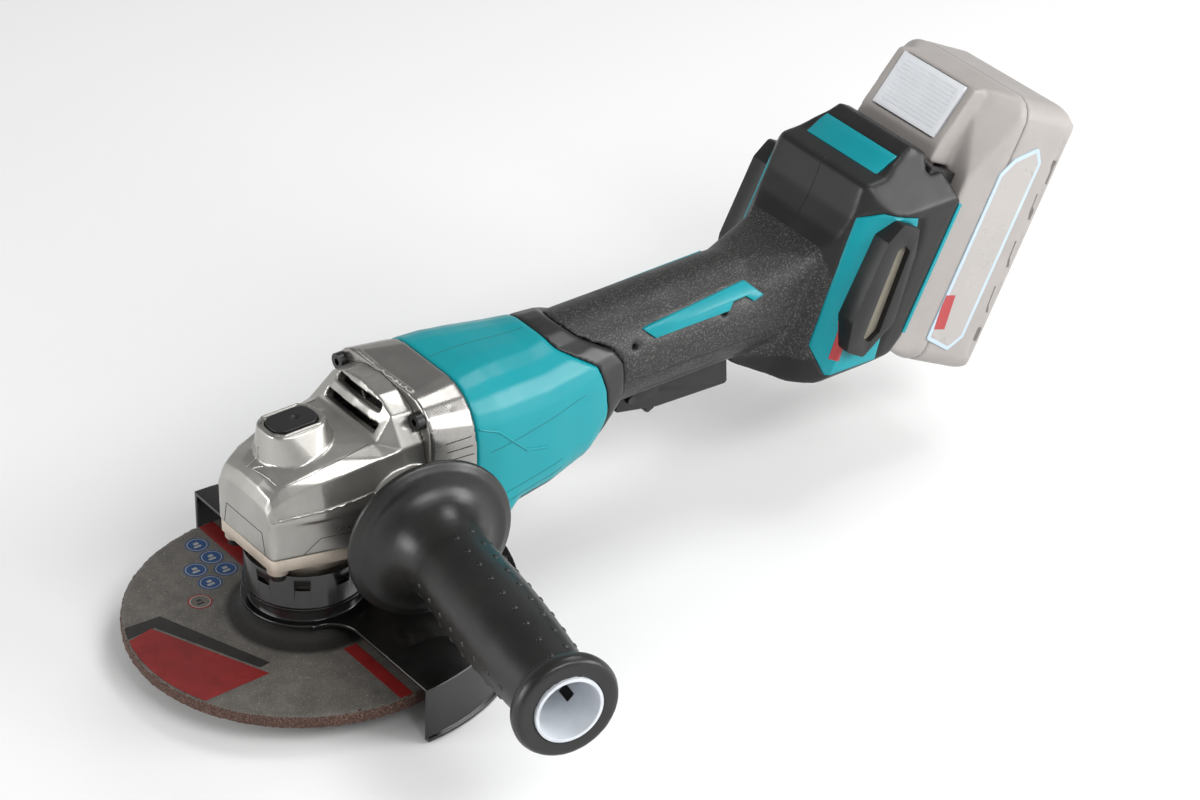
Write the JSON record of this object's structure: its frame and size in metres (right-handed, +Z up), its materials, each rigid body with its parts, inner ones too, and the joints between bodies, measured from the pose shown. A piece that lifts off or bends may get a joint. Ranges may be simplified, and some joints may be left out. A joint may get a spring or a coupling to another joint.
{
  "type": "cordless angle grinder",
  "caption": "Cordless angle grinder with depressed-centre disc, guard, lock button, paddle switch with lock-off lever, removable side handle and slide-on battery.",
  "frame": {"origin": "on the spindle axis, at the outer face of the lock nut, in the middle between its two spanner holes", "axes": "+Z up along the spindle, away from the disc's working face; +X along the tool from the head to the battery; +Y to the left seen from behind, so the side handle is on the -Y side"},
  "size_m": [0.4429, 0.2642, 0.1621],
  "materials": {
    "bright_steel": "satin",
    "dark_steel": "satin",
    "cast_alloy": "satin",
    "dark_cast_alloy": "satin",
    "cream_plate": "satin",
    "abrasive": "rough",
    "black_sheet": "gloss",
    "black_plastic": "satin",
    "grip_rubber": "matte",
    "teal_plastic": "satin",
    "pale_plastic": "satin",
    "white_plastic": "satin",
    "label_film": "gloss",
    "rotor_steel": "satin",
    "copper": "satin",
    "contact_brass": "satin",
    "board": "matte",
    "cell_wrap": "gloss",
    "mesh": "matte"
  },
  "bodies": {
    "housing": {"bearing_box": "cream_plate", "bearing_box_screws": "dark_steel", "gear_housing": "cast_alloy", "gear_ring": "dark_cast_alloy", "gear_ring_screws": "dark_steel", "spindle_bearing": "bright_steel", "spindle_needle_bearing": "bright_steel", "bearing_retainer": "dark_steel", "front_motor_bearing": "bright_steel", "rear_motor_bearing": "bright_steel", "stator": "rotor_steel", "stator_coils": "copper", "motor_housing": "teal_plastic", "neck_band": "grip_rubber", "air_baffle": "black_plastic", "handle_right": "black_plastic", "handle_left": "black_plastic", "grip_inlays": "teal_plastic", "top_inlay": "teal_plastic", "side_panels": "teal_plastic", "dust_covers": "black_plastic", "dust_screens": "mesh", "rear_trim": "teal_plastic", "shell_screws": "bright_steel", "paddle_pin": "bright_steel", "switch_unit": "black_plastic", "controller": "board", "battery_carriage": "black_plastic", "terminals": "contact_brass"},
    "spindle": {"spindle": "bright_steel", "bevel_wheel": "bright_steel", "inner_flange": "bright_steel", "grinding_disc": "abrasive", "lock_nut": "bright_steel"},
    "rotor": {"rotor_shaft": "bright_steel", "pinion": "bright_steel", "rotor_core": "rotor_steel", "fan": "black_plastic"},
    "guard": {"guard": "black_sheet", "guard_collar": "black_sheet", "guard_screw": "bright_steel"},
    "lock_button": {"lock_button": "black_plastic", "lock_pin": "bright_steel", "lock_spring": "bright_steel"},
    "paddle": {"paddle": "black_plastic", "lock_off_pin": "bright_steel", "paddle_spring": "bright_steel"},
    "lock_off_lever": {"lock_off_lever": "black_plastic"},
    "side_handle": {"side_grip": "grip_rubber", "side_core": "white_plastic", "side_stud": "bright_steel", "side_washer": "bright_steel"},
    "battery": {"battery_front_case": "pale_plastic", "battery_rear_case": "pale_plastic", "battery_cells": "cell_wrap", "battery_label": "label_film", "battery_screws": "bright_steel"},
    "battery_button": {"battery_button": "white_plastic"}
  },
  "joints": [
    {"name": "spindle_spin", "type": "hinge", "parent": "housing", "child": "spindle", "pos_m": [0, 0, 0.02], "axis": [0, 0, 1], "continuous": true},
    {"name": "rotor_spin", "type": "hinge", "parent": "housing", "child": "rotor", "pos_m": [0.06, 0, 0.0655], "axis": [1, 0, 0], "continuous": true},
    {"name": "guard_turn", "type": "hinge", "parent": "housing", "child": "guard", "pos_m": [0, 0, 0.02], "axis": [0, 0, 1], "range_deg": [-110, 110]},
    {"name": "lock_button_press", "type": "slide", "parent": "housing", "child": "lock_button", "axis": [0, 0, -1], "range_m": [0, 0.004], "stiffness_N_per_m": 400, "springref_m": -0.004, "deforming": ["lock_spring"]},
    {"name": "paddle_press", "type": "hinge", "parent": "housing", "child": "paddle", "pos_m": [0.152, 0, 0.0535], "axis": [0, -1, 0], "range_deg": [0, 4.4], "stiffness_Nm_per_rad": 1, "springref_deg": -11.46, "deforming": ["paddle_spring"]},
    {"name": "lock_off_swing", "type": "hinge", "parent": "paddle", "child": "lock_off_lever", "pos_m": [0.168, 0, 0.052], "axis": [0, 1, 0], "range_deg": [0, 20], "stiffness_Nm_per_rad": 0.02, "springref_deg": -34.38},
    {"name": "side_handle_out", "type": "slide", "parent": "housing", "child": "side_handle", "axis": [-0.1736, -0.9848, 0], "range_m": [0, 0.035]},
    {"name": "battery_slide", "type": "slide", "parent": "housing", "child": "battery", "axis": [0.4617, 0, 0.887], "range_m": [0, 0.1]},
    {"name": "battery_button_press", "type": "slide", "parent": "battery", "child": "battery_button", "axis": [0.7431, 0, -0.6691], "range_m": [0, 0.003], "stiffness_N_per_m": 500, "springref_m": -0.003}
  ],
  "couplings": [
    {"joint": "rotor_spin", "follows": "spindle_spin", "ratio": 3.4}
  ]
}
